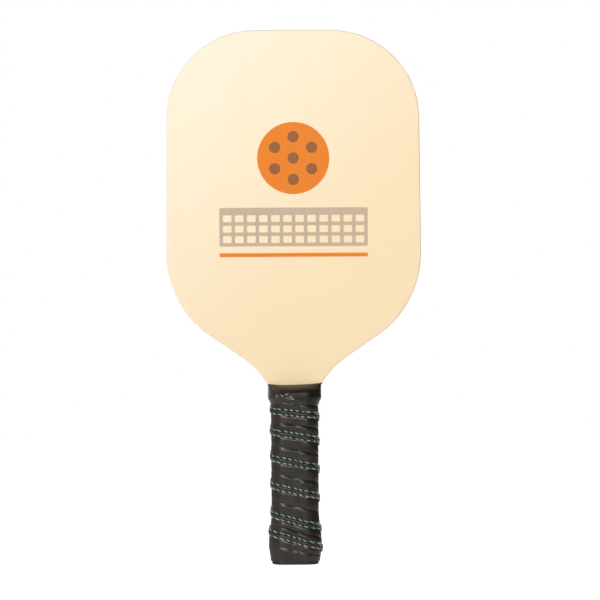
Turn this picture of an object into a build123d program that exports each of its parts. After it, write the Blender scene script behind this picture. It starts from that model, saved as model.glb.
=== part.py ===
from build123d import *

import os
from math import ceil, cos, floor, pi, radians, sin, sqrt

# Wooden pickleball paddle: a seven-ply blade, two glued handle scales, a moulded butt cap and a
# stitched cushion grip finished with tape.
#
# Frame, in millimetres: +Z runs from the butt end up to the blade's top edge, +X runs across the
# striking face, and the front face looks along -Y. The origin is the centre of the butt end's face.

# ---- Blade ---------------------------------------------------------------------------------
OVERALL_LENGTH = 400.0
BLADE_WIDTH = 190.6
PLY_NAMES = [
    "face_veneer_front",
    "crossband_front",
    "long_ply_front",
    "core_ply",
    "long_ply_rear",
    "crossband_rear",
    "face_veneer_rear",
]
PLY_THICKNESS = 1.36
BLADE_THICKNESS = PLY_THICKNESS * len(PLY_NAMES)
EDGE_ROUND = 0.9  # sanded edge of each face veneer

# The outline's right half, from the top centre down: crown arc, corner arc, side, lower corner
# arc, shoulder line, neck arc and tang. Each stretch is tangent to the next down to the neck arc.
CROWN_RADIUS = 2000.0
CORNER_RADIUS = 66.0
SIDE_LEAN = 0.43  # degrees that each side leans inwards above the widest height
WIDEST_HEIGHT = 233.0
LOWER_CORNER_RADIUS = 75.0
SHOULDER_ANGLE = 55.8  # degrees that the shoulder line leans from +Z
SHOULDER_LENGTH = 28.0
NECK_RADIUS = 65.0

# ---- Handle core: rounded rectangle, 31 mm by 25.2 mm, made by the tang and the two scales ----
CORE_X = 15.5  # half width
CORE_Y = 12.6  # half depth
CORE_ROUND = 7.8
CORE_BOTTOM = 3.0
CAP_TOP = 36.0  # the core is rebated below this height to take the butt cap's skirt
REBATE = 0.9
FLARE_BOTTOM = 119.0  # the core widens from here towards the blade
FLARE_TOP = 126.0
FLARE = 1.5
SCALE_TIP_HEIGHT = 132.6  # the scales are bevelled down to the blade from FLARE_TOP to here
SCALE_TIP_THICKNESS = 0.4

# ---- Butt cap: its skirt swells out and in again, so that the hand can't slide off ------------
BUTT_SWELL = 2.15
BUTT_SWELL_HEIGHT = 14.5
BUTT_SWELL_ABOVE = 26.0  # height over which the swell fades out above its widest point
BUTT_SWELL_BELOW = 20.0
FLANGE_GROW = 2.1
FLANGE_HEIGHT = 2.3
FLANGE_ROUND = 1.6
CAP_CLEARANCE = 0.05
CAP_GROOVE_DEPTH = 0.5
CAP_GROOVE_INSET = 4.0
CAP_GROOVE_WIDTH = 1.2

STAPLE_HEIGHT = 24.0
STAPLE_CROWN = 11.0
STAPLE_LEG = 7.0
STAPLE_WIRE = 0.6
STAPLE_WIRE_WIDTH = 1.2
STAPLE_SUNK = 0.15  # how far the crown sits below the skirt's surface

# ---- Grip, wound as a strip. Layers are measured outwards from the core and the cap ------------
FILM_INSIDE = 0.10
FILM_OUTSIDE = 0.22
FOAM_INSIDE = 0.25
FOAM_OUTSIDE = 1.15
LEATHER_INSIDE = 1.18
LEATHER_OUTSIDE = 1.75
GRIP_BOTTOM = 2.4
GRIP_TOP = 125.8
TRIM_BLEND = 1.2  # over which the strip's edges turn level at the grip's bottom and top
SEAM_GAP = 0.2
NARROWEST = 1.0  # the strip is cut to a taper, down to this width, at each end
# Height of the middle of the rib at each half turn, at -X and +X by turns, from the first one.
# Those above GRIP_TOP and below GRIP_BOTTOM only set the slope of the trimmed ends.
FIRST_HEIGHT_TURN = -1.5
RIB_HEIGHTS = [
    *(146.0, 139.0, 133.0, 125.0),
    *(116.2, 110.1, 100.9, 91.8, 81.5, 70.8, 60.9, 49.4, 39.6, 27.0, 25.6, 11.6),
    *(7.7, -1.0, -7.0, -15.0, -21.0, -28.0),
]

CORD_RADIUS = 0.6
CORD_CLEARANCE = 0.05
RIB_HALF_WIDTH = 1.5
CHANNEL_HALF_WIDTH = 0.75
RIB_WALL = 0.6
RIB_START = 0.46  # in turns
RIB_END = 6.15
RIB_FADE = 0.1
THREAD_RADIUS = 0.4
THREAD_CLEARANCE = 0.06
THREAD_OFFSET = 1.95  # of each row of stitching from the rib's middle
CHORD = 3.3  # longest step along the core's outline when a strip is wound

# ---- Finishing tape, stretched from the blade's neck down over the grip's top edge -------------
TAPE_BOTTOM = 119.6
TAPE_TOP = 133.5
TAPE_THICKNESS = 0.25
TAPE_GAP = 0.05
TAPE_BRIDGE = 0.16  # extra room at the tape's bottom edge, where the leather bridges the flare

# ---- Printed mark: a plain ball above a net, in three inks -------------------------------------
INK_THICKNESS = 0.08
BALL_HEIGHT = 304.0
BALL_RADIUS = 27.0
BALL_HOLE_RADIUS = 4.2
BALL_HOLE_RING = 16.0
BALL_HOLES_IN_RING = 6
NET_WIDTH = 111.0
NET_BOTTOM = 238.0
NET_TAPE = 5.5
NET_CORD = 2.6
NET_COLUMNS = 12
NET_ROWS = 3
NET_CELL_HEIGHT = 5.2
GROUND_LINE_HEIGHT = 231.5
GROUND_LINE_THICKNESS = 2.8


def swell(z):
    """How far the handle's surface stands out from the straight core at height z."""
    above = z - BUTT_SWELL_HEIGHT
    reach = BUTT_SWELL_ABOVE if above > 0 else BUTT_SWELL_BELOW
    if abs(above) < reach:
        return BUTT_SWELL * cos(pi / 2 * above / reach) ** 2
    share = (z - FLARE_BOTTOM) / (FLARE_TOP - FLARE_BOTTOM)
    return FLARE * min(max(share, 0.0), 1.0)


def levels(low, high, count):
    """count + 1 evenly spaced values from low to high."""
    return [low + (high - low) * i / count for i in range(count + 1)]


# ---- Blade ---------------------------------------------------------------------------------


def neck_centre():
    """(x, z) of the neck arc's centre, which lies outside the outline, and of the arc's two
    neighbours: where the lower corner ends and where the shoulder line ends."""
    angle = radians(SHOULDER_ANGLE)
    outwards = Vector(cos(angle), -sin(angle))
    corner = Vector(BLADE_WIDTH / 2 - LOWER_CORNER_RADIUS, WIDEST_HEIGHT)
    corner_end = corner + outwards * LOWER_CORNER_RADIUS
    shoulder_end = corner_end - Vector(sin(angle), cos(angle)) * SHOULDER_LENGTH
    return shoulder_end + outwards * NECK_RADIUS, corner_end, shoulder_end


def neck_half_width(z):
    """The blade's half width on the neck arc at height z."""
    centre = neck_centre()[0]
    return centre.X - sqrt(NECK_RADIUS**2 - (z - centre.Y) ** 2)


def neck_height(half_width):
    """The height at which the neck arc has this half width."""
    centre = neck_centre()[0]
    return centre.Y + sqrt(NECK_RADIUS**2 - (centre.X - half_width) ** 2)


def arc(centre, start, end):
    """The shorter arc about centre between two points that are equally far from it."""
    middle = (start + end) / 2 - centre
    return Edge.make_three_point_arc(
        start, centre + middle.normalized() * (start - centre).length, end
    )


def half_outline():
    """Edges of the right half of the blade and tang, with x across and y for the height."""
    lean = radians(SIDE_LEAN)
    inwards = Vector(-cos(lean), -sin(lean))
    up_the_side = Vector(-sin(lean), cos(lean))
    crown_centre = Vector(0, OVERALL_LENGTH - CROWN_RADIUS)
    widest = Vector(BLADE_WIDTH / 2, WIDEST_HEIGHT)

    # The corner's centre is one corner radius inside the side line, and
    # CROWN_RADIUS - CORNER_RADIUS from the crown's centre.
    foot = widest + inwards * CORNER_RADIUS
    across = (foot - crown_centre).dot(up_the_side)
    reach = (CROWN_RADIUS - CORNER_RADIUS) ** 2 - (foot - crown_centre).length ** 2
    corner_centre = foot + up_the_side * (sqrt(across**2 + reach) - across)
    crown_end = crown_centre + (corner_centre - crown_centre).normalized() * CROWN_RADIUS
    side_top = corner_centre - inwards * CORNER_RADIUS

    neck, corner_end, shoulder_end = neck_centre()
    lower_centre = Vector(BLADE_WIDTH / 2 - LOWER_CORNER_RADIUS, WIDEST_HEIGHT)
    neck_end = Vector(CORE_X + FLARE, neck_height(CORE_X + FLARE))
    tang = [neck_end, Vector(CORE_X + FLARE, FLARE_TOP), Vector(CORE_X, FLARE_BOTTOM)]
    tang += [Vector(CORE_X, CAP_TOP), Vector(CORE_X - REBATE, CAP_TOP)]
    tang += [Vector(CORE_X - REBATE, CORE_BOTTOM), Vector(0, CORE_BOTTOM)]

    return [
        arc(crown_centre, Vector(0, OVERALL_LENGTH), crown_end),
        arc(corner_centre, crown_end, side_top),
        Edge.make_line(side_top, widest),
        arc(lower_centre, widest, corner_end),
        Edge.make_line(corner_end, shoulder_end),
        arc(neck, shoulder_end, neck_end),
        *[Edge.make_line(a, b) for a, b in zip(tang, tang[1:])],
    ]


def blade_outline():
    """The whole outline of the blade and tang as a face in XY."""
    half = half_outline()
    return Face(Wire(half + [edge.mirror(Plane.YZ) for edge in half]))


def veneer(index):
    """One ply of the blade and tang; index 0 is the front face."""
    back = BLADE_THICKNESS / 2 - (index + 1) * PLY_THICKNESS
    sheet = extrude(Plane.XZ.offset(back) * blade_outline(), PLY_THICKNESS, dir=(0, -1, 0))
    if 0 < index < len(PLY_NAMES) - 1:
        return sheet
    outer_face = sheet.faces().sort_by(Axis.Y)[0 if index == 0 else -1]
    blade_edges = [e for e in outer_face.edges() if e.center().Z > SCALE_TIP_HEIGHT]
    return fillet(blade_edges, EDGE_ROUND)


# ---- Handle core and butt cap --------------------------------------------------------------


def core_section(z, grow=0.0):
    """The core's rounded rectangle at height z, grown outwards all round."""
    return Pos(0, 0, z) * RectangleRounded(
        2 * (CORE_X + grow), 2 * (CORE_Y + grow), CORE_ROUND + grow
    )


def front_scale():
    """The front handle scale, with its rebate below and its bevel above."""
    profile = [(CAP_TOP, 0), (FLARE_BOTTOM, 0), (FLARE_TOP, FLARE), (SCALE_TIP_HEIGHT, FLARE)]
    grip = loft([core_section(z, grow) for z, grow in profile], ruled=True)
    spigot = extrude(core_section(CORE_BOTTOM, -REBATE), CAP_TOP - CORE_BOTTOM)

    glue_face = BLADE_THICKNESS / 2
    bevel_foot = CORE_Y + FLARE
    tip = glue_face + SCALE_TIP_THICKNESS
    side = Polyline(
        (-glue_face, 0),
        (-2 * CORE_Y, 0),
        (-2 * CORE_Y, FLARE_TOP),
        (-bevel_foot, FLARE_TOP),
        (-tip, SCALE_TIP_HEIGHT),
        (-glue_face, SCALE_TIP_HEIGHT),
        close=True,
    )
    keep = extrude(Plane.YZ * make_face(side), 2 * CORE_X, both=True)
    return (grip + spigot) & keep


def staple_crown_y():
    """Distance from the middle of the handle to the outside of a staple's crown."""
    return CORE_Y + swell(STAPLE_HEIGHT + STAPLE_WIRE_WIDTH / 2) - STAPLE_SUNK


def front_staple():
    """A flat-wire staple, driven through the front of the skirt into the scale."""
    outside = -staple_crown_y()
    half = STAPLE_CROWN / 2
    tip = outside + STAPLE_LEG
    outline = Polyline(
        (-half, outside),
        (half, outside),
        (half, tip),
        (half - STAPLE_WIRE, tip - STAPLE_WIRE),
        (half - STAPLE_WIRE, outside + STAPLE_WIRE),
        (STAPLE_WIRE - half, outside + STAPLE_WIRE),
        (STAPLE_WIRE - half, tip - STAPLE_WIRE),
        (-half, tip),
        close=True,
    )
    base = Pos(0, 0, STAPLE_HEIGHT - STAPLE_WIRE_WIDTH / 2)
    return extrude(base * make_face(outline), STAPLE_WIRE_WIDTH)


def front_staple_groove():
    """The room that a driven staple leaves in the skirt, out to the open."""
    open_to = CORE_Y + 2 * BUTT_SWELL
    depth = open_to - staple_crown_y()
    centre = Pos(0, -(open_to - depth / 2), STAPLE_HEIGHT)
    return centre * Box(STAPLE_CROWN, depth, STAPLE_WIRE_WIDTH) + front_staple()


def both_sides(shape):
    """The shape and its mirror image through the blade's middle."""
    return [shape, mirror(shape, Plane.XZ)]


def butt_cap():
    """The moulded cap: flange, swelling skirt, socket for the core, and a ring groove below."""
    skirt_levels = levels(FLANGE_HEIGHT, CAP_TOP, 12)
    skirt = loft([core_section(z, swell(z)) for z in skirt_levels], ruled=True)
    flange = extrude(core_section(0, FLANGE_GROW), FLANGE_HEIGHT)
    flange = fillet(flange.faces().sort_by(Axis.Z)[0].edges(), FLANGE_ROUND)
    socket = extrude(core_section(CORE_BOTTOM, CAP_CLEARANCE - REBATE), CAP_TOP)
    groove_outline = core_section(0, -CAP_GROOVE_INSET)
    groove_outline -= core_section(0, -CAP_GROOVE_INSET - CAP_GROOVE_WIDTH)
    ring_groove = extrude(groove_outline, CAP_GROOVE_DEPTH)
    cap = skirt + flange - socket - ring_groove
    for staple_groove in both_sides(front_staple_groove()):
        cap -= staple_groove
    return cap


# ---- Grip ----------------------------------------------------------------------------------


FLAT_X, FLAT_Y = CORE_X - CORE_ROUND, CORE_Y - CORE_ROUND
CORNER_LENGTH = pi / 2 * CORE_ROUND
QUARTER_LENGTH = FLAT_X + CORNER_LENGTH + FLAT_Y


def core_point(turn):
    """Point and outward normal on the core's outline, turn being the share of the way round it
    from +X, anticlockwise seen from above."""
    quarter, share = divmod((turn % 1.0) * 4, 1.0)
    # Every quarter is measured from its X side, so the second and fourth run backwards.
    along = QUARTER_LENGTH * (1 - share if quarter % 2 else share)
    round_corner = min(max(along - FLAT_Y, 0.0), CORNER_LENGTH)
    angle = round_corner / CORE_ROUND
    x = FLAT_X + CORE_ROUND * cos(angle) - max(along - FLAT_Y - CORNER_LENGTH, 0.0)
    y = min(along, FLAT_Y) + CORE_ROUND * sin(angle)
    sign_x = 1 if quarter in (0, 3) else -1
    sign_y = 1 if quarter in (0, 1) else -1
    return Vector(x * sign_x, y * sign_y), Vector(cos(angle) * sign_x, sin(angle) * sign_y)


def stations(start, end):
    """Turns from start to end, in runs that each cover one flat or one corner of the core."""
    ends = (FLAT_Y / QUARTER_LENGTH, (FLAT_Y + CORNER_LENGTH) / QUARTER_LENGTH)
    quarters = range(floor(4 * start), ceil(4 * end))
    stops = [(q + (1 - s if q % 2 else s)) / 4 for q in quarters for s in ends]
    stops = [start, *sorted(stop for stop in stops if start < stop < end), end]
    length = 4 * QUARTER_LENGTH
    return [levels(a, b, max(2, ceil((b - a) * length / CHORD))) for a, b in zip(stops, stops[1:])]


def rib_height(turn):
    """Height of the middle of the rib after a number of turns, counted downwards: a smooth
    curve through RIB_HEIGHTS."""
    place = 2 * (turn - FIRST_HEIGHT_TURN)
    i = min(max(floor(place), 1), len(RIB_HEIGHTS) - 3)
    f = place - i
    a, b, c, d = RIB_HEIGHTS[i - 1 : i + 3]
    cubic = 1.5 * (b - c) + (d - a) / 2
    square = a - 2.5 * b + 2 * c - d / 2
    return b + f * ((c - a) / 2 + f * (square + f * cubic))


def seam_height(turn):
    """Height of the seam below the rib, midway to the rib's next turn and kept within the grip."""
    seam = (rib_height(turn) + rib_height(turn + 1)) / 2

    def lower_of(a, b):
        blend = max(1 - abs(a - b) / TRIM_BLEND, 0.0)
        return min(a, b) - blend * blend * TRIM_BLEND / 4

    return -lower_of(-lower_of(seam, GRIP_TOP), -GRIP_BOTTOM)


def strip_width(turn):
    return seam_height(turn - 1) - seam_height(turn)


def strip_ends():
    """The turns where the strip has tapered to its narrowest."""
    fine = [i / 200 for i in range(-200, 1600)]
    wide = [turn for turn in fine if strip_width(turn) > NARROWEST]
    return wide[0], wide[-1]


def strip_heights(turn, half_rib):
    """Heights across the strip, from its upper edge down to the rib, and from the rib down to
    its lower edge."""
    width = strip_width(turn)
    high = seam_height(turn - 1) - SEAM_GAP / 2
    low = seam_height(turn) + SEAM_GAP / 2
    middle = min(max(rib_height(turn), low + width * 0.3), high - width * 0.3)
    foot = half_rib * min(width / (8 * RIB_HALF_WIDTH), 1.0)
    return levels(high, middle + foot, 3), levels(middle - foot, low, 3)


def wind(section, start, end):
    """A closed solid wound round the handle. section(turn) gives the cross-section's corners as
    (height, distance out from the handle's surface), the same number at each turn."""

    def corner_points(turn):
        at, normal = core_point(turn)
        return [at + normal * (out + swell(z)) + Vector(0, 0, z) for z, out in section(turn)]

    faces = []
    for run in stations(start, end):
        corners = zip(*[corner_points(turn) for turn in run])
        edges = [Edge.make_spline(list(corner)) for corner in corners]
        pairs = zip(edges, edges[1:] + edges[:1])
        faces += [Face.make_surface_from_curves(a, b) for a, b in pairs]
    faces += [Face(Wire.make_polygon(corner_points(turn))) for turn in (start, end)]
    return Solid(Shell(faces))


def layer(inside, outside):
    """A flat layer of the strip, with no rib. Its corners are level with those of the leather's
    inner face, so that the two stay the same distance apart over the flare."""

    def section(turn):
        upper, lower = strip_heights(turn, CHANNEL_HALF_WIDTH)
        middle = (upper[-1] + lower[0]) / 2
        foot = upper[-1] - middle
        heights = upper + [middle + foot / 2, middle - foot / 2] + lower
        return [(z, outside) for z in heights] + [(z, inside) for z in reversed(heights)]

    return wind(section, *strip_ends())


def rib_fade(turn):
    """1 along the rib, falling smoothly to 0 past each of its ends."""
    past = max(RIB_START - turn, turn - RIB_END, 0.0)
    share = max(1 - past / RIB_FADE, 0.0)
    return share * share * (3 - 2 * share)


def leather_face(turn, base, half_width, profile):
    """One face of the leather's cross-section, from its upper edge, over the rib, to its lower
    edge. profile gives the rib's upper half as (share of half_width, height)."""
    upper, lower = strip_heights(turn, half_width)
    middle = (upper[-1] + lower[0]) / 2
    foot = upper[-1] - middle
    rise = [(foot * share, base + height * rib_fade(turn)) for share, height in profile]
    fall = [(-above, out) for above, out in reversed(rise) if above]
    rib = [(middle + above, out) for above, out in rise + fall]
    return [(z, base) for z in upper] + rib + [(z, base) for z in lower]


def leather_strip():
    """The leather, raised over the cord along the rib."""
    channel = 2 * CORD_RADIUS + CORD_CLEARANCE
    crown = channel + RIB_WALL - (LEATHER_OUTSIDE - LEATHER_INSIDE)
    channel_profile = [(1.0, channel * 0.6), (0.5, channel)]
    crown_profile = [(0.85, crown * 0.5), (0.5, crown * 0.92), (0.0, crown)]

    def section(turn):
        outer = leather_face(turn, LEATHER_OUTSIDE, RIB_HALF_WIDTH, crown_profile)
        inner = leather_face(turn, LEATHER_INSIDE, CHANNEL_HALF_WIDTH, channel_profile)
        return outer + inner[::-1]

    return wind(section, *strip_ends())


def strand(radius, sides, above, outwards):
    """A cord or thread wound along the rib, at a height above the rib's middle."""
    angles = [2 * pi * (i + 0.5) / sides for i in range(sides)]

    def section(turn):
        middle = rib_height(turn) + above
        return [(middle + radius * cos(a), outwards + radius * sin(a)) for a in angles]

    return wind(section, RIB_START, RIB_END)


def rib_cord():
    return strand(CORD_RADIUS, 8, 0.0, LEATHER_INSIDE + CORD_RADIUS)


def stitch_row(side):
    """One row of stitching, at the foot of the rib; side is 1 above the rib and -1 below it."""
    outwards = LEATHER_OUTSIDE + THREAD_RADIUS + THREAD_CLEARANCE
    return strand(THREAD_RADIUS, 6, side * THREAD_OFFSET, outwards)


def finishing_tape():
    """Stretched tape: straight over the grip's top edge, then in to the flat of the blade."""
    neck_x = neck_half_width(TAPE_TOP) + TAPE_GAP
    neck_y = BLADE_THICKNESS / 2 + TAPE_GAP
    lift = LEATHER_OUTSIDE + TAPE_GAP
    foot = lift + TAPE_BRIDGE + swell(TAPE_BOTTOM)

    def sleeve(grow):
        bottom = core_section(TAPE_BOTTOM, foot + grow)
        shoulder = core_section(GRIP_TOP, lift + swell(GRIP_TOP) + grow)
        top = RectangleRounded(2 * (neck_x + grow), 2 * (neck_y + grow), EDGE_ROUND + grow)
        return loft([bottom, shoulder, Pos(0, 0, TAPE_TOP) * top], ruled=True)

    return sleeve(TAPE_THICKNESS) - sleeve(0)


# ---- Printed mark --------------------------------------------------------------------------


def printed(shape, layer=1):
    """A film of ink on the front face, or on the ink below it, from a flat shape with x across
    and y for the height."""
    under = BLADE_THICKNESS / 2 + (layer - 1) * INK_THICKNESS
    return extrude(Plane.XZ.offset(under) * shape, INK_THICKNESS)


def orange_ink():
    """The ball, and the line under the net."""
    ball = Pos(0, BALL_HEIGHT) * Circle(BALL_RADIUS)
    line = Pos(0, GROUND_LINE_HEIGHT) * Rectangle(NET_WIDTH, GROUND_LINE_THICKNESS)
    return [printed(ball), printed(line)]


def brown_ink():
    """The ball's holes, printed over the orange: one in the middle and a ring round it."""
    ring = PolarLocations(BALL_HOLE_RING, BALL_HOLES_IN_RING, 90)
    holes = [Pos(0, BALL_HEIGHT) * at * Circle(BALL_HOLE_RADIUS) for at in [Location(), *ring]]
    return [printed(hole, layer=2) for hole in holes]


def grey_ink():
    """The net: a thick tape along its top, and cords round open cells."""
    height = NET_TAPE + NET_ROWS * (NET_CELL_HEIGHT + NET_CORD)
    pitch_x = (NET_WIDTH - NET_CORD) / NET_COLUMNS
    pitch_z = NET_CELL_HEIGHT + NET_CORD
    cells = [
        Pos((column - (NET_COLUMNS - 1) / 2) * pitch_x, NET_BOTTOM + (row + 0.5) * pitch_z)
        * Pos(0, NET_CORD / 2)
        * RectangleRounded(pitch_x - NET_CORD, NET_CELL_HEIGHT, NET_CORD / 3)
        for column in range(NET_COLUMNS)
        for row in range(NET_ROWS)
    ]
    net = Pos(0, NET_BOTTOM + height / 2) * RectangleRounded(NET_WIDTH, height, NET_CORD / 2)
    return [printed(net - cells)]


# ---- The whole paddle ----------------------------------------------------------------------


def build():
    """Every piece by node name, each a list of separate solids."""
    staples = both_sides(front_staple())
    scales = both_sides(front_scale())
    pieces = {name: [veneer(index)] for index, name in enumerate(PLY_NAMES)}
    pieces["handle_scale_front"] = [scales[0] - staples[0]]
    pieces["handle_scale_rear"] = [scales[1] - staples[1]]
    pieces["butt_cap"] = [butt_cap()]
    pieces["butt_cap_staples"] = staples
    pieces["grip_adhesive_film"] = [layer(FILM_INSIDE, FILM_OUTSIDE)]
    pieces["grip_foam_backing"] = [layer(FOAM_INSIDE, FOAM_OUTSIDE)]
    pieces["grip_leather_strip"] = [leather_strip()]
    pieces["grip_rib_cord"] = [rib_cord()]
    pieces["grip_stitching_upper"] = [stitch_row(1)]
    pieces["grip_stitching_lower"] = [stitch_row(-1)]
    pieces["grip_finishing_tape"] = [finishing_tape()]
    pieces["printed_ball_and_line"] = orange_ink()
    pieces["printed_ball_holes"] = brown_ink()
    pieces["printed_net"] = grey_ink()
    return pieces


def main():
    os.makedirs("parts", exist_ok=True)
    for name, solids in build().items():
        found = [solid for shape in solids for solid in shape.solids()]
        export_step(Compound(children=found), os.path.join("parts", f"{name}.step"))


main()
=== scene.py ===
import math
import random

import bpy
import numpy as np
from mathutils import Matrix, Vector, noise


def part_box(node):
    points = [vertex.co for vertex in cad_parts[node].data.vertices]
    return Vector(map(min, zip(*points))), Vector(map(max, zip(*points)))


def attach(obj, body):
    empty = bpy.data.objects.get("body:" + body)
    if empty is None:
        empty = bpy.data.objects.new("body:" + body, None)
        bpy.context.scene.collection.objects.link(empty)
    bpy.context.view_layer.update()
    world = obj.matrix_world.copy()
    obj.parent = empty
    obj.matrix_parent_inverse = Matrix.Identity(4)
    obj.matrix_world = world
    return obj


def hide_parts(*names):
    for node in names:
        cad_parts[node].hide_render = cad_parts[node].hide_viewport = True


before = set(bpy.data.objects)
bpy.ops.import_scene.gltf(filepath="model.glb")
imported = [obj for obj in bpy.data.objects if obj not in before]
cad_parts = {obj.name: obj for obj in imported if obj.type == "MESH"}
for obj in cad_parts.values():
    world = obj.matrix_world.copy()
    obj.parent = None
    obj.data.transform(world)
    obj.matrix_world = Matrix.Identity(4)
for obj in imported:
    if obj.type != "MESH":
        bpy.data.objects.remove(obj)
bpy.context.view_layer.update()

# The looks of a wooden pickleball paddle around its CAD frame. Sizes are in millimetres, and turn
# into metres where a mesh is made. +Z runs up the paddle, and the printed front faces -Y.
#
# The plies, scales, cap, staples, cord, foam and ink are CAD nodes with new materials. The leather
# strip, its two rows of stitching and the finishing tape are modelled here.

MM = 0.001
SEED = 7

# ---- Sizes of the handle, as in the CAD ------------------------------------------------------
CORE_X = 15.5
CORE_Y = 12.6
CORE_ROUND = 7.8
BUTT_SWELL = 2.15
BUTT_SWELL_HEIGHT = 14.5
BUTT_SWELL_ABOVE = 26.0
BUTT_SWELL_BELOW = 20.0
FLARE_BOTTOM = 119.0
FLARE_TOP = 126.0
FLARE = 1.5
LEATHER_INSIDE = 1.18
LEATHER_OUTSIDE = 1.75
# Height of the middle of the rib at each half turn, at -X and +X by turns, from the first one.
FIRST_HEIGHT_TURN = -1.5
RIB_HEIGHTS = np.array([
    *(146.0, 139.0, 133.0, 125.0),
    *(116.2, 110.1, 100.9, 91.8, 81.5, 70.8, 60.9, 49.4, 39.6, 27.0, 25.6, 11.6),
    *(7.7, -1.0, -7.0, -15.0, -21.0, -28.0),
])
RIB_START = 0.46  # in turns
RIB_END = 6.15
RIB_FADE = 0.1
TRIM_BLEND = 1.2  # over which the strip's edges turn level at the grip's bottom and top
NARROWEST = 1.0  # width of the strip at its tapered ends
NECK_CENTRE = (75.64, 101.5)  # x and z of an arc that follows the right of the blade's neck
NECK_RADIUS = 64.8
BLADE_HALF_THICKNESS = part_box("face_veneer_rear")[1].y / MM
GRIP_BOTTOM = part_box("grip_leather_strip")[0].z / MM
GRIP_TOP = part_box("grip_leather_strip")[1].z / MM
TAPE_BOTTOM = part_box("grip_finishing_tape")[0].z / MM
TAPE_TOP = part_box("grip_finishing_tape")[1].z / MM

# ---- Details that only the looks have ---------------------------------------------------------
CROWN_FRONT = 0.55  # how far the padding rounds out the flats of the handle
CROWN_SIDE = 0.25
CROWN_CORNER = 0.45  # the corners' place, from 0 at the side to 1 at the front, where it sinks
CROWN_CORNER_WIDTH = 0.16
ROW_OFFSET = 1.95  # of each stitch row from the rib's middle
STITCH_PITCH = 4.1


# ---- Geometry of the handle --------------------------------------------------------------------

FLAT_X, FLAT_Y = CORE_X - CORE_ROUND, CORE_Y - CORE_ROUND
CORNER_LENGTH = math.pi / 2 * CORE_ROUND
QUARTER_LENGTH = FLAT_X + CORNER_LENGTH + FLAT_Y
TURN_LENGTH = 4 * QUARTER_LENGTH


def smooth(value):
    """0 below 0, 1 above 1, and a smooth step between."""
    value = np.clip(value, 0.0, 1.0)
    return value * value * (3 - 2 * value)


def bell(value):
    """1 at 0, falling smoothly towards 0 on both sides."""
    return np.exp(-(value**2))


def outline(turn, half_x=CORE_X, half_y=CORE_Y, radius=CORE_ROUND):
    """Points and outward normals round a rounded rectangle. turn is the share of the way round,
    from +X, anticlockwise seen from above, and spreads over flats and corners as on the core."""
    quarter, share = np.divmod((turn % 1.0) * 4, 1.0)
    odd = quarter % 2 == 1
    along = QUARTER_LENGTH * np.where(odd, 1 - share, share)
    up_side = np.clip(along / FLAT_Y, 0, 1)
    angle = np.clip((along - FLAT_Y) / CORNER_LENGTH, 0, 1) * math.pi / 2
    across = 1 - np.clip((along - FLAT_Y - CORNER_LENGTH) / FLAT_X, 0, 1)
    x = (half_x - radius) * across + radius * np.cos(angle)
    y = (half_y - radius) * up_side + radius * np.sin(angle)
    sign_x = np.where((quarter == 0) | (quarter == 3), 1.0, -1.0)
    sign_y = np.where(quarter < 2, 1.0, -1.0)
    return x * sign_x, y * sign_y, np.cos(angle) * sign_x, np.sin(angle) * sign_y


def crown(turn):
    """How far the padding stands out over the flats of the handle."""
    from_x_side = np.abs((turn * 2 + 0.5) % 1.0 - 0.5) * 2  # 0 at either side, 1 at front or back
    rise = (CROWN_FRONT - CROWN_SIDE) * smooth(from_x_side * 1.6 - 0.6)
    corner = CROWN_SIDE * bell((from_x_side - CROWN_CORNER) / CROWN_CORNER_WIDTH)
    return CROWN_SIDE + rise - corner


def swell(z):
    """How far the handle's surface stands out from the straight core at height z."""
    above = z - BUTT_SWELL_HEIGHT
    reach = np.where(above > 0, BUTT_SWELL_ABOVE, BUTT_SWELL_BELOW)
    butt = BUTT_SWELL * np.cos(math.pi / 2 * np.clip(above / reach, -1, 1)) ** 2
    return butt + FLARE * np.clip((z - FLARE_BOTTOM) / (FLARE_TOP - FLARE_BOTTOM), 0, 1)


def place(turn, z, out):
    """Points at a distance out from the handle's surface."""
    x, y, normal_x, normal_y = outline(turn)
    out = out + swell(z) + crown(turn)
    return np.stack([x + normal_x * out, y + normal_y * out, z + 0 * x], axis=-1)


def rib_height(turn):
    """Height of the rib's middle, a smooth curve through RIB_HEIGHTS."""
    step = 2 * (turn - FIRST_HEIGHT_TURN)
    i = np.clip(np.floor(step).astype(int), 1, len(RIB_HEIGHTS) - 3)
    f = step - i
    a, b, c, d = (RIB_HEIGHTS[i + k] for k in (-1, 0, 1, 2))
    cubic = 1.5 * (b - c) + (d - a) / 2
    square = a - 2.5 * b + 2 * c - d / 2
    return b + f * ((c - a) / 2 + f * (square + f * cubic))


def seam_height(turn):
    """Height of the seam below the rib, midway to its next turn and kept within the grip."""
    seam = (rib_height(turn) + rib_height(turn + 1)) / 2

    def lower_of(a, b):
        blend = np.maximum(1 - np.abs(a - b) / TRIM_BLEND, 0.0)
        return np.minimum(a, b) - blend * blend * TRIM_BLEND / 4

    return -lower_of(-lower_of(seam, GRIP_TOP), -GRIP_BOTTOM)


# ---- Meshes ------------------------------------------------------------------------------------

RUMPLE_STEP = (17.3, 5.1, 9.7)  # from one seed's part of the noise to the next


def make_piece(name, points, faces, materials, replaced, face_materials=None):
    """A closed, smooth-shaded mesh from points in millimetres, riding on the paddle. It takes
    the materials it is given, and stands for a CAD node that it replaces."""
    mesh = bpy.data.meshes.new(name)
    mesh.from_pydata([tuple(p) for p in np.asarray(points) * MM], [], faces)
    for material in materials:
        mesh.materials.append(material)
    if face_materials is not None:
        mesh.polygons.foreach_set("material_index", face_materials)
    mesh.validate()
    mesh.shade_smooth()
    piece = bpy.data.objects.new(name, mesh)
    bpy.context.scene.collection.objects.link(piece)
    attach(piece, "root")
    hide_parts(replaced)
    return piece


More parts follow.
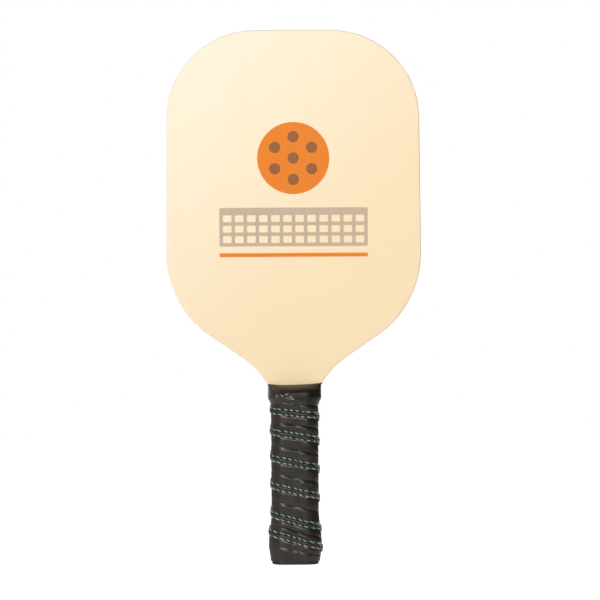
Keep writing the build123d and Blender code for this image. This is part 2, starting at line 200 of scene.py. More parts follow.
def ring_faces(rings, around, first, closed):
    """Quads that join rings of points, each with the same number around. An open run of rings is
    capped, and a closed one joins its last ring to its first."""
    faces = []
    for i in range(rings if closed else rings - 1):
        here, there = first + i * around, first + (i + 1) % rings * around
        for j in range(around):
            k = (j + 1) % around
            faces.append((here + j, here + k, there + k, there + j))
    if not closed:
        last = first + (rings - 1) * around
        faces.append(tuple(range(first + around - 1, first - 1, -1)))
        faces.append(tuple(range(last, last + around)))
    return faces


def rumple(points, size, seed):
    """Smooth noise from -1 to 1 at each point, with features of about this size."""
    offset = Vector([step * seed for step in RUMPLE_STEP])
    flat = points.reshape(-1, 3) / size
    values = [noise.noise(Vector(p) + offset) for p in flat]
    return np.array(values).reshape(points.shape[:-1])


def crease(points, path, height, width):
    """A ridge on the front of the handle along a path of (x, z) points, dying out at its ends."""
    x, z = points[..., 0], points[..., 2]
    shape = np.zeros_like(x)
    total = len(path) - 1
    for i, ((x0, z0), (x1, z1)) in enumerate(zip(path, path[1:])):
        dx, dz = x1 - x0, z1 - z0
        t = np.clip(((x - x0) * dx + (z - z0) * dz) / (dx * dx + dz * dz), 0, 1)
        distance = np.hypot(x - x0 - t * dx, z - z0 - t * dz)
        along = (i + t) / total
        shape = np.maximum(shape, bell(distance / width) * np.sin(math.pi * along) ** 0.5)
    return np.where(points[..., 1] < 0, height * shape, 0.0)


# ---- The leather strip ---------------------------------------------------------------------------

ALONG_STEP = 0.6  # mm between cross-sections of the strip
ACROSS_EDGE = 12  # points from a strip edge to the nearer stitch row
ACROSS_RIB = 24  # points over the rib and both stitch rows
RIB_REACH = 2.9  # half width of the part with closely spaced points
MIDDLE_MARGIN = 0.35  # share of the strip's width that the rib keeps from either edge
SEAM_HALF_GAP = 0.03

RIB_HEIGHT = 1.3
RIB_HALF_WIDTH = 1.55
HOLE_REACH = 0.6  # how far round a stitch hole the leather is pulled down
HOLE_IN_RIB = 0.12  # share of the rib's height
ROW_DEPTH = 0.22  # of the groove that each stitch row pulls, between holes
HOLE_DEPTH = 0.3  # and by how much more at a hole
ROW_HALF_WIDTH = 0.4
ROWS_MARGIN = 0.5  # from the outside of the rows to the end of the closely spaced points
PUCKER_HEIGHT = 0.16  # of the leather beside the rows, high between holes
PUCKER_START = 0.6
PUCKER_REACH = 1.8
PILLOW_HEIGHT = 0.24  # of the padding between the rows and the strip's edges
PILLOW_TO_EDGE = 1.6  # its crest is this many times as far from the rows as from the edge
EDGE_ROLL = 0.07  # how far the strip's edges turn down at a seam
EDGE_ROLL_REACH = 0.3

RUMPLE_SIZE = 9.0  # broad unevenness from winding
RUMPLE_HEIGHT = 0.16
RUMPLE_FLATTEN = (1, 1, 1.8)
GRAIN_SIZE = 2.2
GRAIN_HEIGHT = 0.05

# The channel for the cord in the strip's inner face: height above the rib's middle, depth.
CHANNEL = [(-1.0, 0.0), (-0.9, 0.9), (-0.4, 1.3), (0.4, 1.3), (0.9, 0.9), (1.0, 0.0)]

# Wrinkles in the leather on the front of the handle: (x, z) path, height and width.
LEATHER_CREASES = [
    ([(3.4, 56.6), (5.2, 60.4), (7.4, 62.2)], 0.6, 0.8),
    ([(7.0, 62.2), (9.2, 57.8), (12.4, 52.6)], 0.5, 0.8),
    ([(-10.5, 28.6), (-5.0, 26.2), (2.0, 22.6)], 0.5, 0.8),
    ([(-7.5, 9.5), (-2.5, 7.2), (1.5, 6.4)], 0.35, 0.9),
    ([(-6.5, 104.5), (-2.0, 103.2), (2.0, 103.8)], 0.35, 1.0),
    ([(-6.0, 87.5), (-1.5, 85.2), (3.0, 84.0)], 0.35, 0.9),
]

# Puffed places on the front, below each seam and below each rib: x, depth below it, half width,
# half height and how far they stand out.
SEAM_PUFFS = [(-4.2, 2.2, 5.0, 1.8, 0.7), (7.4, 2.1, 3.2, 1.8, 0.7)]
RIB_PUFFS = [(-4.0, 4.2, 4.2, 1.1, 0.5), (8.5, 4.3, 3.0, 1.1, 0.35)]


def puffs(points, below, places):
    """Height of the puffed places, given the distance below the seam or rib."""
    total = np.zeros_like(below)
    for x, depth, half_x, half_z, height in places:
        total += height * bell((points[..., 0] - x) / half_x) * bell((below - depth) / half_z)
    return np.where(points[..., 1] < 0, total, 0.0)


def strip_stations():
    """Turns along the strip, between its tapered ends."""
    fine = np.arange(-1.0, 8.0, 1 / 400)
    wide = fine[seam_height(fine - 1) - seam_height(fine) > NARROWEST]
    count = int((wide[-1] - wide[0]) * TURN_LENGTH / ALONG_STEP)
    return np.linspace(wide[0], wide[-1], count)


def rib_fade(turn):
    """1 along the rib, falling smoothly to 0 past each of its ends."""
    past = np.maximum(np.maximum(RIB_START - turn, turn - RIB_END), 0.0)
    return smooth(1 - past / RIB_FADE)


def from_stitch_hole(turn):
    """Distance in mm from the nearest stitch hole."""
    share = (turn - RIB_START) * TURN_LENGTH / STITCH_PITCH
    return np.abs((share + 0.5) % 1.0 - 0.5) * STITCH_PITCH


def relief(turn, above, edge):
    """Height of the leather's surface over the strip: above is the distance above the rib's
    middle, and edge the distance in from the strip's nearer edge."""
    away = np.abs(above)
    fade = rib_fade(turn)
    hole = bell(from_stitch_hole(turn) / HOLE_REACH)
    dome = np.clip(1 - (away / RIB_HALF_WIDTH) ** 2.2, 0, 1) ** 0.6
    rib = RIB_HEIGHT * dome * (1 - HOLE_IN_RIB * hole)
    groove = bell((away - ROW_OFFSET) / ROW_HALF_WIDTH) * (ROW_DEPTH + HOLE_DEPTH * hole)
    beside = np.maximum(away - RIB_REACH + ROWS_MARGIN, 0.0)
    pucker = PUCKER_HEIGHT * (0.5 - hole) * np.exp(-beside / PUCKER_REACH) * smooth(beside / PUCKER_START)
    across = np.clip(beside / np.maximum(beside + PILLOW_TO_EDGE * edge, 1e-6), 0, 1)
    pillow = PILLOW_HEIGHT * np.sin(math.pi * across) ** 0.8
    rolled_edge = EDGE_ROLL * np.exp(-edge / EDGE_ROLL_REACH)
    return fade * (rib - groove + pucker) + pillow - rolled_edge


def outer_heights(high, low, middle, reach):
    """Heights across the strip's outer face, closest together at its edges and over the rib."""
    edge_share = 1 - np.cos(np.linspace(0, math.pi / 2, ACROSS_EDGE, endpoint=False))
    upper = high + (middle + reach - high) * edge_share
    centre = middle + reach * np.linspace(1, -1, ACROSS_RIB)
    lower = low + (middle - reach - low) * edge_share[::-1]
    return np.concatenate([upper, centre, lower], axis=1)


def leather_rings():
    """Cross-sections of the strip: its outer face from top to bottom, then its inner face."""
    turn = strip_stations()[:, None]
    high = seam_height(turn - 1) - SEAM_HALF_GAP
    low = seam_height(turn) + SEAM_HALF_GAP
    width = high - low
    margin = MIDDLE_MARGIN * width
    middle = np.clip(rib_height(turn), low + margin, high - margin)
    reach = RIB_REACH * np.minimum(width / (5 * RIB_REACH), 1.0)
    z = outer_heights(high, low, middle, reach)
    turns = turn + 0 * z

    edge = np.minimum(high - z, z - low)
    out = LEATHER_OUTSIDE + relief(turns, z - rib_height(turn), edge)
    base = place(turns, z, out)
    out += RUMPLE_HEIGHT * rumple(base * RUMPLE_FLATTEN, RUMPLE_SIZE, SEED) * smooth(edge / 1.5)
    out += GRAIN_HEIGHT * rumple(base, GRAIN_SIZE, SEED + 1)
    out += puffs(base, high - z, SEAM_PUFFS) * smooth(edge / 2.0)
    out += puffs(base, rib_height(turns) - z, RIB_PUFFS) * rib_fade(turns)
    # The stitched rib holds the leather down, so wrinkles are faint across it.
    away_from_rib = 1 - 0.8 * rib_fade(turns) * bell((z - middle) / 2.2)
    for path, height, wide in LEATHER_CREASES:
        out += crease(base, path, height, wide) * away_from_rib
    outer = place(turns, z, out)

    scale = reach / RIB_REACH
    inner_z = [low] + [middle + above * scale for above, _ in CHANNEL] + [high]
    inner_z = np.concatenate(inner_z, axis=1)
    depth = np.array([0.0] + [deep for _, deep in CHANNEL] + [0.0])
    inner_out = LEATHER_INSIDE - crown(turn) + depth[None, :] * rib_fade(turn)
    inner = place(turn + 0 * inner_z, inner_z, inner_out)
    return np.concatenate([outer, inner], axis=1)


def leather_strip(material):
    rings = leather_rings()
    faces = ring_faces(rings.shape[0], rings.shape[1], 0, closed=False)
    return make_piece(
        "leather_strip", rings.reshape(-1, 3), faces, [material], "grip_leather_strip"
    )


# ---- Stitching -----------------------------------------------------------------------------------

PLY_RADII = (0.48, 0.46)  # each thread is two plies twisted together
PLY_OFFSET = 0.36  # front to back
PLY_SPREAD = 0.14  # up and down
PLY_SIDES = 6
PLY_STATIONS = 11
STITCH_SHARE = 0.97  # of the pitch, seen between two holes
STITCH_DIVE = 0.35  # how far below the leather's surface a stitch's ends lie
STITCH_RISE = (0.28, 0.42)  # least and most height of its middle above the surface
STITCH_LEAN = 0.16  # how much higher a stitch starts than it ends
LEAN_CHANGE = 0.12
HEIGHT_CHANGE = 0.07
PHASES = (-2.4, -0.8)  # of the twist at a stitch's start, so that the light ply crosses its front


def stitch_plies(turn, share, above, lift, phase):
    """Rings of points for the two plies of one stitch, which make one full turn about its line."""
    around = np.arange(PLY_SIDES) * 2 * math.pi / PLY_SIDES
    for ply, full_radius in enumerate(PLY_RADII):
        angle = phase + math.pi * ply + 2 * math.pi * share
        z_line = rib_height(turn) + above + PLY_SPREAD * np.cos(angle)
        out_line = lift + PLY_OFFSET * np.sin(angle)
        radius = full_radius * np.sin(math.pi * (0.12 + 0.76 * share)) ** 0.4  # thinner at its ends
        z = z_line[:, None] + radius[:, None] * np.cos(around)
        out = out_line[:, None] + radius[:, None] * np.sin(around)
        yield ply, place(turn[:, None] + 0 * z, z, out)


def stitch_row(name, side, materials, replaced):
    """Separate stitches from hole to hole that dive in at both ends; side is 1 above the rib and
    -1 below it. The first material is the light ply's, in the thread's own colour, and the second
    the dark ply's, a darker copy of the thread that is painted shade."""
    draw = random.Random(SEED + side)
    count = int((RIB_END - RIB_START) * TURN_LENGTH / STITCH_PITCH)
    pitch = STITCH_PITCH / TURN_LENGTH
    share = np.linspace(0, 1, PLY_STATIONS)
    points, faces, face_materials = [], [], []
    for i in range(count):
        start = RIB_START + pitch * (i + (1 - STITCH_SHARE) / 2)
        turn = start + share * pitch * STITCH_SHARE
        lean = draw.uniform(-LEAN_CHANGE, LEAN_CHANGE) + STITCH_LEAN
        above = side * ROW_OFFSET + lean * (0.5 - share) + draw.uniform(-HEIGHT_CHANGE, HEIGHT_CHANGE)
        rise = draw.uniform(*STITCH_RISE)
        lift = LEATHER_OUTSIDE - STITCH_DIVE + (STITCH_DIVE + rise) * np.sin(math.pi * share) ** 0.55
        for ply, rings in stitch_plies(turn, share, above, lift, draw.uniform(*PHASES)):
            new = ring_faces(PLY_STATIONS, PLY_SIDES, len(points), closed=False)
            points.extend(rings.reshape(-1, 3))
            faces.extend(new)
            face_materials.extend([ply] * len(new))
    return make_piece(name, points, faces, materials, replaced, face_materials)


# ---- Finishing tape ------------------------------------------------------------------------------

TAPE_AROUND = 360  # points round the tape
TAPE_RISE = 64  # and up it
TAPE_TOP_HEAVY = 1.8  # how much closer the tape's points stand near its top edge
TAPE_THICKNESS = 0.25
TAPE_LIFT = 0.28  # of its inner face above the leather
TAPE_GAP = 0.1  # between its inner face and the blade
TAPE_CORNER = 1.0  # radius of its corners at the blade
TAPE_BULGE = 6.6  # over which the tape swells out from its lower edge
BULGE_START = 0.6  # how far below its lower edge the swelling would begin
SIDE_SHOULDER = 4.4  # how late the tape turns in to the blade at its edges
FACE_SHOULDER = 3.0  # and over its faces
TAPE_REACH = 1.2  # how far the stretched tape creeps up the blade above its laid height
TOP_WAVE = 0.35  # share of the waviness at its top edge
BOTTOM_LIFT = 0.25
BOTTOM_WAVE = 0.8
TAPE_RUMPLE_SIZE = 5.0
TAPE_RUMPLE_HEIGHT = 0.22
PUCKERS = 26  # small upright puckers round the tape, mostly on its left
LAP_HEIGHT = 121.9  # of the outer turn's lower edge, which climbs to the left under the fold
LAP_RISE = 0.028
LAP_WAVE = 0.6
LAP_STEP = 0.35
# The fold that crosses the tape's left side, and lesser folds below it.
LONG_FOLD = [(-12.6, 130.0), (-10.4, 127.2), (-7.6, 124.8), (-4.2, 123.3), (-0.5, 122.6), (2.5, 122.4)]
TAPE_CREASES = [
    (LONG_FOLD, 1.0, 1.6),
    ([(-15.5, 131.0), (-13.8, 127.0), (-13.2, 122.0)], 0.45, 0.8),
    ([(-17.5, 130.0), (-16.2, 126.0), (-15.6, 122.5)], 0.35, 0.6),
    ([(5.0, 120.8), (9.0, 121.6), (12.5, 121.0)], 0.4, 1.1),
]


def neck_half_width(z):
    """The blade's half width at height z, between the handle and the shoulders."""
    return NECK_CENTRE[0] - np.sqrt(NECK_RADIUS**2 - (z - NECK_CENTRE[1]) ** 2)


def tape_surface(turn, z, top, out):
    """Points of the tape: round the grip below its top edge, and drawn in to the blade above,
    where it ends at the height top."""
    tuck = FLARE * np.clip((z - FLARE_BOTTOM) / (FLARE_TOP - FLARE_BOTTOM), 0, 1)
    bulge = FLARE * smooth((z - TAPE_BOTTOM + BULGE_START) / TAPE_BULGE) - tuck
    grip = place(turn, np.minimum(z, GRIP_TOP), LEATHER_OUTSIDE + TAPE_LIFT + out + bulge)
    half_x = neck_half_width(z) + TAPE_GAP + out
    half_y = BLADE_HALF_THICKNESS + TAPE_GAP + out
    blade_x, blade_y, _, _ = outline(turn, half_x, half_y, TAPE_CORNER)
    drawn = np.clip((z - GRIP_TOP) / (top - GRIP_TOP), 0, 1)
    across = 1 - (1 - drawn**SIDE_SHOULDER) ** (1 / SIDE_SHOULDER)
    deep = drawn**FACE_SHOULDER
    x = grip[..., 0] + (blade_x - grip[..., 0]) * across
    y = grip[..., 1] + (blade_y - grip[..., 1]) * deep
    return np.stack([x, y, z + 0 * x], axis=-1)


def tape_edges(turn):
    """Heights of the tape's lower edge, of the lap where its outer turn begins, and of its top
    edge, which dips and rises across the front."""
    x, y, _, _ = outline(turn)
    front = (y < 0) * 1.0
    wave = 0.3 * np.sin(4 * math.pi * turn + 0.6) + 0.12 * np.sin(14 * math.pi * turn)
    dip = -0.42 * np.cos((x + 1.5) / 4.14) + 0.15 * x / CORE_X + 0.25 * np.sin(x / CORE_X * 1.8)
    bottom = TAPE_BOTTOM + BOTTOM_LIFT + BOTTOM_WAVE * wave
    lap = LAP_HEIGHT + front * LAP_RISE * np.maximum(-x, 0.0) ** 2.2 + LAP_WAVE * wave
    return bottom, lap, TAPE_TOP + TAPE_REACH + TOP_WAVE * wave + front * dip


def tape_rings():
    """Upright loops round the tape's section: up its outer face and down its inner face."""
    turn = np.linspace(0, 1, TAPE_AROUND, endpoint=False)[:, None]
    bottom, lap_edge, top = tape_edges(turn)
    share = 1 - np.linspace(1, 0, TAPE_RISE) ** TAPE_TOP_HEAVY
    z = bottom + (top - bottom) * share
    turns = turn + 0 * z
    inner = tape_surface(turns, z, top, 0.0)

    off_edges = smooth(share / 0.08) * smooth((1 - share) / 0.1)
    left_side = smooth(-outline(turn)[0] / CORE_X * 1.4 - 0.2)
    pucker = np.sin(2 * math.pi * (turns * PUCKERS + 0.4 * np.sin(z / 2.0))) * (0.01 + 0.03 * left_side)
    rumpled = TAPE_RUMPLE_HEIGHT * rumple(inner, TAPE_RUMPLE_SIZE, SEED + 2)
    out = TAPE_THICKNESS + off_edges * (pucker + rumpled)
    for path, height, wide in TAPE_CREASES:
        out = out + off_edges * crease(inner, path, height, wide)
    lap = LAP_STEP * smooth((z - lap_edge) / 0.3)
    outer = tape_surface(turns, z, top, out + lap)
    return np.concatenate([outer, inner[:, ::-1]], axis=1)


def finishing_tape(material):
    rings = tape_rings()
    faces = ring_faces(rings.shape[0], rings.shape[1], 0, closed=True)
    faces = [face[::-1] for face in faces]
    return make_piece(
        "finishing_tape", rings.reshape(-1, 3), faces, [material], "grip_finishing_tape"
    )


# ---- Materials -----------------------------------------------------------------------------------


def linear(red, green, blue):
    """The linear colour that nodes take, from a colour as it looks on screen, 0 to 255."""
    parts = [v / 255 for v in (red, green, blue)]
    return (*[v / 12.92 if v <= 0.04045 else ((v + 0.055) / 1.055) ** 2.4 for v in parts], 1.0)


class Shader:
    """One node material, built up from short calls."""

    def __init__(self, name):
        self.material = bpy.data.materials.new(name)
        self.material.use_nodes = True
        self.tree = self.material.node_tree
        self.surface = self.tree.nodes["Principled BSDF"]
        self.position = self.add("ShaderNodeTexCoord").outputs["Object"]

    def add(self, kind, inputs=None, **settings):
        node = self.tree.nodes.new(kind)
        for key, value in settings.items():
            setattr(node, key, value)
        for key, value in (inputs or {}).items():
            if isinstance(value, bpy.types.NodeSocket):
                self.tree.links.new(value, node.inputs[key])
            else:
                node.inputs[key].default_value = value
        return node

    def set(self, **inputs):
        """Sets or links inputs of the surface, with _ for each space in a name."""
        for key, value in inputs.items():
            socket = self.surface.inputs[key.replace("_", " ")]
            if isinstance(value, bpy.types.NodeSocket):
                self.tree.links.new(value, socket)
            else:
                socket.default_value = value

    def stretched(self, x, y, z):
        """Position in metres, scaled along each axis, so that noise runs along the small one."""
        vector = self.add("ShaderNodeVectorMath", {0: self.position, 1: (x, y, z)}, operation="MULTIPLY")
        return vector.outputs[0]

    def noise(self, scale, where=None, detail=2.0, rough=0.5, twist=0.0):
        found = self.add(
            "ShaderNodeTexNoise",
            {
                "Vector": where or self.position,
                "Scale": scale,
                "Detail": detail,
                "Roughness": rough,
                "Distortion": twist,
            },
        )
        return found.outputs["Fac"]

    def cells(self, scale, where=None, feature="F1"):
        found = self.add(
            "ShaderNodeTexVoronoi", {"Vector": where or self.position, "Scale": scale}, feature=feature
        )
        return found.outputs["Distance"]

    def math(self, operation, a, b):
        return self.add("ShaderNodeMath", {0: a, 1: b}, operation=operation).outputs[0]

    def spread(self, value, low, high, to_low=0.0, to_high=1.0):
        """Maps low..high to to_low..to_high, clamped."""
        inputs = {
            "Value": value,
            "From Min": low,
            "From Max": high,
            "To Min": to_low,
            "To Max": to_high,
        }
        return self.add("ShaderNodeMapRange", inputs).outputs["Result"]

    def mix(self, share, a, b):
        """The colour that is this share of the way from a to b."""
        inputs = {"Factor": share, "A": a, "B": b}
        node = self.add("ShaderNodeMix", data_type="RGBA")
        sockets = {s.name: s for s in node.inputs if s.enabled and s.name in inputs}
        for key, value in inputs.items():
            if isinstance(value, bpy.types.NodeSocket):
                self.tree.links.new(value, sockets[key])
            else:
                sockets[key].default_value = value
        return [s for s in node.outputs if s.enabled][0]

    def bump(self, height, distance_mm, strength=1.0):
        inputs = {"Height": height, "Distance": distance_mm * MM, "Strength": strength}
        normal = self.add("ShaderNodeBump", inputs).outputs["Normal"]
        self.set(Normal=normal)


UPRIGHT_GRAIN = (1.0, 1.0, 0.05)
CROSS_GRAIN = (1.0, 0.35, 1.0)
# The warmer tone is partly the veneer's own and partly painted shade, darker towards the lower right
# where the light falls off.
DRIFT = (-0.478, -0.2)  # metres: x - z where a face veneer's warmer tone begins and is full


def wood(name, pale, deep, seed, along=UPRIGHT_GRAIN, contrast=1.0, warm=None):
    """Fine fibres and a broader figure that run along the grain, with soft blotches. Each seed
    shows another piece of the same wood."""
    s = Shader(name)
    shift = (seed, seed * 0.7, seed * 1.3)
    moved = s.add("ShaderNodeVectorMath", {0: s.stretched(*along), 1: shift}, operation="ADD").outputs[0]
    fibres = s.noise(2600.0, moved, detail=3.0, rough=0.6)
    figure = s.noise(95.0, moved, detail=3.0, rough=0.55, twist=0.4)
    blotches = s.noise(28.0, detail=1.0)
    flecks = s.spread(s.noise(1500.0, moved, detail=1.0), 0.66, 0.78)
    tone = s.math("MULTIPLY", s.spread(figure, 0.3, 0.7), 0.45 * contrast)
    tone = s.math("ADD", tone, s.math("MULTIPLY", s.spread(fibres, 0.35, 0.65), 0.25 * contrast))
    tone = s.math("ADD", tone, s.math("MULTIPLY", s.spread(blotches, 0.3, 0.7), 0.3 * contrast))
    colour = s.mix(tone, pale, deep)
    if warm:
        # The tone drifts warmer and darker to one side and towards the handle: partly the veneer's own
        # tone, and partly painted shade where the key light from the upper left falls off.
        split = s.add("ShaderNodeSeparateXYZ", {0: s.position}).outputs
        drift = s.math("SUBTRACT", split["X"], split["Z"])
        colour = s.mix(s.spread(drift, *DRIFT), colour, warm)
    colour = s.mix(s.math("MULTIPLY", flecks, 0.10 * contrast), colour, deep)
    s.set(Base_Color=colour, Roughness=s.spread(fibres, 0.3, 0.7, 0.38, 0.5))
    s.set(Coat_Weight=0.12, Coat_Roughness=0.3, Specular_IOR_Level=0.35)
    s.bump(s.math("ADD", fibres, s.math("MULTIPLY", flecks, -0.5)), 0.03, 0.5)
    return s.material


def ink(name, colour, dark):
    """Screen-printed ink, with the grain showing faintly through it."""
    s = Shader(name)
    fibres = s.noise(2600.0, s.stretched(*UPRIGHT_GRAIN), detail=3.0)
    mottle = s.noise(400.0, detail=2.0)
    tone = s.math("MULTIPLY", s.spread(s.math("ADD", fibres, mottle), 0.8, 1.2), 0.22)
    s.set(Base_Color=s.mix(tone, colour, dark), Roughness=s.spread(mottle, 0.3, 0.7, 0.42, 0.55))
    s.set(Specular_IOR_Level=0.3)
    s.bump(fibres, 0.02, 0.4)
    return s.material


def leather(name):
    """Embossed synthetic leather: pebble grain with painted shade in its sunken creases, in brown and
    olive patches.
    """
    s = Shader(name)
    drift = s.noise(125.0, detail=1.0)
    fine = s.noise(700.0, detail=2.0)
    pebbles = s.cells(1700.0, feature="SMOOTH_F1")
    creases = s.cells(1150.0, feature="DISTANCE_TO_EDGE")
    colour = s.mix(s.spread(drift, 0.44, 0.66), linear(33, 30, 23), linear(54, 39, 38))
    colour = s.mix(s.spread(fine, 0.45, 0.75, 0.0, 0.45), colour, linear(62, 56, 51))
    # Painted shade: the colour darkens in the grain's creases, which the bump below sinks.
    colour = s.mix(s.spread(creases, 0.0, 0.12, 0.55, 0.0), colour, linear(24, 22, 21))
    s.set(Base_Color=colour, Roughness=s.spread(fine, 0.3, 0.7, 0.42, 0.58))
    s.set(Specular_IOR_Level=0.08, Coat_Weight=0.82, Coat_Roughness=0.27)
    height = s.math("ADD", s.math("MULTIPLY", pebbles, -0.7), s.spread(creases, 0.0, 0.15, 0.0, 0.6))
    height = s.math("ADD", height, s.math("MULTIPLY", fine, 0.8))
    s.bump(height, 0.07, 0.5)
    return s.material


def thread(name, light, dark):
    """Twisted polyester: fine slanting filaments along each ply."""
    s = Shader(name)
    filaments = s.noise(2600.0, s.stretched(0.5, 0.5, 1.6), detail=2.0)
    patches = s.noise(300.0, detail=1.0)
    colour = s.mix(s.spread(filaments, 0.35, 0.65), dark, light)
    colour = s.mix(s.spread(patches, 0.4, 0.6, 0.0, 0.8), colour, dark)
    s.set(Base_Color=colour, Roughness=0.55, Sheen_Weight=0.2, Specular_IOR_Level=0.4)
    s.bump(filaments, 0.06, 0.6)
    return s.material


GLOSS_END = (0.1243, 0.1256)  # metres: x / 2 + z where the tape's gloss begins and ceases to fade


def vinyl(name):
    """Glossy stretch tape, with faint stretch marks and haze. It is duller above its long fold."""
    s = Shader(name)
    haze = s.noise(160.0, detail=2.0)
    pull = s.noise(500.0, s.stretched(1.0, 1.0, 0.2), detail=2.0)
    colour = s.mix(s.spread(haze, 0.35, 0.65), linear(26, 22, 16), linear(38, 33, 25))
    s.set(Base_Color=colour, Roughness=s.spread(haze, 0.3, 0.7, 0.3, 0.42))
    split = s.add("ShaderNodeSeparateXYZ", {0: s.position}).outputs
    slanting = s.add("ShaderNodeMath", {0: split["X"], 1: 0.5, 2: split["Z"]}, operation="MULTIPLY_ADD")
    gloss = s.spread(slanting.outputs[0], *GLOSS_END, 0.9, 0.12)
    s.set(Specular_IOR_Level=0.25, Coat_Weight=gloss, Coat_Roughness=0.16)
    s.bump(pull, 0.05, 0.35)
    return s.material


def moulded(name, dark, light, rough):
    """Moulded plastic with a fine spark-eroded texture."""
    s = Shader(name)
    grain = s.noise(3200.0, detail=2.0)
    scuffs = s.spread(s.noise(240.0, s.stretched(1.0, 1.0, 3.0), detail=3.0), 0.6, 0.75, 0.0, 0.4)
    s.set(Base_Color=s.mix(scuffs, dark, light))
    s.set(Roughness=s.spread(grain, 0.3, 0.7, rough - 0.08, rough + 0.1))
    s.bump(grain, 0.04, 0.5)
    return s.material


def foam(name, dark, light):
    """Closed-cell foam: small round cells, with painted shade in their hollow middles."""
    s = Shader(name)
    bubbles = s.cells(1400.0)
    # Painted shade: darker at each cell's middle, where the bump sinks it.
    s.set(Base_Color=s.mix(s.spread(bubbles, 0.1, 0.6), dark, light), Roughness=0.85)
    s.bump(bubbles, 0.15, 0.7)
    return s.material


def steel(name):
    """Drawn flat wire, with lines along its length."""
    s = Shader(name)
    lines = s.noise(3000.0, s.stretched(0.04, 1.0, 1.0), detail=2.0)
    s.set(Base_Color=s.mix(lines, linear(150, 150, 152), linear(196, 196, 198)), Metallic=1.0)
    s.set(Roughness=s.spread(lines, 0.3, 0.7, 0.25, 0.42))
    s.bump(lines, 0.01, 0.4)
    return s.material


def braid(name, light, dark):
    """Braided cord: crossed diagonal yarns."""
    s = Shader(name)
    weave = s.cells(2200.0, s.stretched(1.0, 1.0, 0.6))
    s.set(Base_Color=s.mix(s.spread(weave, 0.1, 0.6), light, dark), Roughness=0.8)
    s.bump(weave, 0.08, 0.7)
    return s.material


def paint_cad_nodes():
    """Gives each CAD node that isn't replaced its material."""
    pale, deep = linear(254, 244, 224), linear(251, 237, 209)
    # The warmer colour below is partly the veneers' own tone and partly painted shade towards the handle
    # and the right.
    warm = linear(251, 226, 185)
    front = wood("veneer_front", pale, deep, 1.0, warm=warm)
    rear = wood("veneer_rear", pale, deep, 4.0, warm=warm)
    long_grain = wood("long_grain_ply", linear(243, 221, 184), linear(222, 192, 148), 2.0, contrast=1.2)
    crossband = (linear(216, 182, 138), linear(172, 134, 92))
    end_grain = wood("crossband_ply", *crossband, 3.0, along=CROSS_GRAIN, contrast=1.4)
    scale = wood("handle_wood", linear(232, 204, 162), linear(204, 168, 120), 5.0, contrast=1.3)
    materials = {
        "face_veneer_front": front,
        "face_veneer_rear": rear,
        "crossband_front": end_grain,
        "core_ply": end_grain,
        "crossband_rear": end_grain,
        "long_ply_front": long_grain,
        "long_ply_rear": long_grain,
        "handle_scale_front": scale,
        "handle_scale_rear": scale,
        "butt_cap": moulded("moulded_black", linear(30, 29, 28), linear(58, 56, 53), 0.5),
        "butt_cap_staples": steel("staple_steel"),
        "grip_adhesive_film": moulded("adhesive_film", linear(226, 222, 206), linear(206, 200, 180), 0.4),
        "grip_foam_backing": foam("closed_cell_foam", linear(26, 26, 28), linear(48, 48, 50)),
        "grip_rib_cord": braid("braided_cord", linear(70, 70, 70), linear(34, 34, 35)),
        "printed_ball_and_line": ink("ink_orange", linear(238, 130, 10), linear(223, 116, 8)),
        "printed_ball_holes": ink("ink_brown", linear(151, 93, 44), linear(134, 80, 36)),
        "printed_net": ink("ink_grey", linear(202, 179, 154), linear(188, 165, 140)),
    }
    for node, material in materials.items():
        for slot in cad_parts[node].material_slots:
            slot.material = material


# ---- Stage ---------------------------------------------------------------------------------------

# Metres from here on.
FLOOR_HEIGHT = -0.15
FLOOR_REACH = 6.0  # from the middle to each side
BLADE_AIM = (0.0, 0.0, 0.2)
GRIP_AIM = (0.0, 0.0, 0.1)
SENSOR_WIDTH = 36.0  # millimetres, as cameras give it
VIEW_DISTANCE = 2.6
VIEW_CENTRE = (0.0045, 0.1977)  # x and z at the middle of the picture
VIEW_WIDTH = 0.45  # of the picture, at the paddle's middle
VIEW_ROLL = 0.33  # degrees that the paddle's top leans left in the picture


def soft_light(name, at, aim, size, power):
    """A white rectangular light that faces the point it is aimed at."""
    data = bpy.data.lights.new(name, "AREA")
    data.shape = "RECTANGLE"
    data.size, data.size_y = size
    data.energy = power
    light = bpy.data.objects.new(name, data)
    light.location = at
    light.rotation_euler = (Vector(aim) - Vector(at)).to_track_quat("-Z", "Y").to_euler()
    bpy.context.scene.collection.objects.link(light)


def pale_world():
    """White to the camera. As a light it is softer, and dimmer on the right."""
    world = bpy.data.worlds.new("studio")
    world.use_nodes = True
    bpy.context.scene.world = world
    tree = world.node_tree
    background = tree.nodes["Background"]
    background.inputs["Color"].default_value = (1, 1, 1, 1)
    side = tree.nodes.new("ShaderNodeSeparateXYZ")
    tree.links.new(tree.nodes.new("ShaderNodeTexCoord").outputs["Generated"], side.inputs[0])
    softness = tree.nodes.new("ShaderNodeMapRange")
    for key, value in {"From Min": -0.6, "From Max": 0.44, "To Min": 0.42, "To Max": 0.0}.items():
        softness.inputs[key].default_value = value
    tree.links.new(side.outputs["X"], softness.inputs["Value"])
    strength = tree.nodes.new("ShaderNodeMix")
    strength.inputs["B"].default_value = 1.0
    tree.links.new(softness.outputs["Result"], strength.inputs["A"])
    seen = tree.nodes.new("ShaderNodeLightPath").outputs["Is Camera Ray"]
    tree.links.new(seen, strength.inputs["Factor"])
    tree.links.new(strength.outputs["Result"], background.inputs["Strength"])


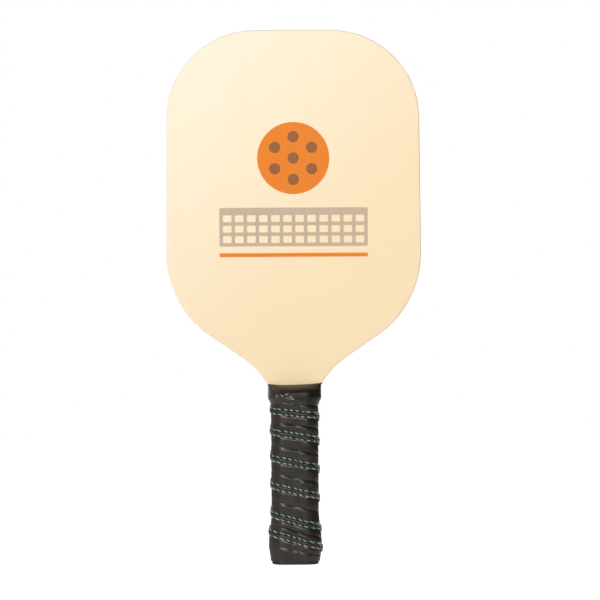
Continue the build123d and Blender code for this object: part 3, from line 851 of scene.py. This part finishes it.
def pale_floor():
    """A matt floor, lifted to white where the camera sees it."""
    signs = ((-1, -1), (1, -1), (1, 1), (-1, 1))
    corners = [(x * FLOOR_REACH, y * FLOOR_REACH, FLOOR_HEIGHT) for x, y in signs]
    mesh = bpy.data.meshes.new("floor")
    mesh.from_pydata(corners, [], [(0, 1, 2, 3)])
    s = Shader("pale_floor")
    seen = s.add("ShaderNodeLightPath").outputs["Is Camera Ray"]
    s.set(Base_Color=linear(244, 244, 242), Roughness=0.9, Specular_IOR_Level=0.1)
    s.set(Emission_Color=(1, 1, 1, 1), Emission_Strength=seen)
    mesh.materials.append(s.material)
    floor = bpy.data.objects.new("floor", mesh)
    bpy.context.scene.collection.objects.link(floor)


def camera():
    """Straight on to the front, far enough away that the handle's depth hardly enlarges it."""
    data = bpy.data.cameras.new("view")
    data.sensor_width = SENSOR_WIDTH
    data.lens = SENSOR_WIDTH * VIEW_DISTANCE / VIEW_WIDTH
    eye = bpy.data.objects.new("view", data)
    x, z = VIEW_CENTRE
    eye.location = (x, -VIEW_DISTANCE, z)
    eye.rotation_euler = (math.pi / 2, math.radians(VIEW_ROLL), 0.0)
    bpy.context.scene.collection.objects.link(eye)
    bpy.context.scene.camera = eye


def stage():
    bpy.context.scene.view_settings.view_transform = "Standard"
    pale_world()
    pale_floor()
    soft_light("key", (-1.15, -2.4, 0.9), BLADE_AIM, (1.2, 1.2), 25.4)
    soft_light("strip", (-0.15, -1.3, 0.65), GRIP_AIM, (0.8, 0.05), 4.0)
    soft_light("glint", (0.42, -1.25, 0.6), GRIP_AIM, (0.16, 0.08), 2.6)
    soft_light("rear_fill", (0.6, 1.5, 1.0), BLADE_AIM, (1.2, 1.2), 24.0)
    camera()


# ---- The paddle ----------------------------------------------------------------------------------


def dress():
    """Finishes the CAD nodes and models the leather, the stitching and the tape."""
    paint_cad_nodes()
    leather_strip(leather("embossed_leather"))
    # The dark ply is a darker copy of the thread: painted shade for its shaded side and the gaps between
    # stitches.
    plies = [
        thread("thread_light", linear(206, 214, 206), linear(128, 148, 140)),
        thread("thread_painted_shade", linear(48, 92, 82), linear(16, 46, 40)),
    ]
    stitch_row("stitching_upper", 1, plies, "grip_stitching_upper")
    stitch_row("stitching_lower", -1, plies, "grip_stitching_lower")
    finishing_tape(vinyl("glossy_tape"))


dress()
stage()
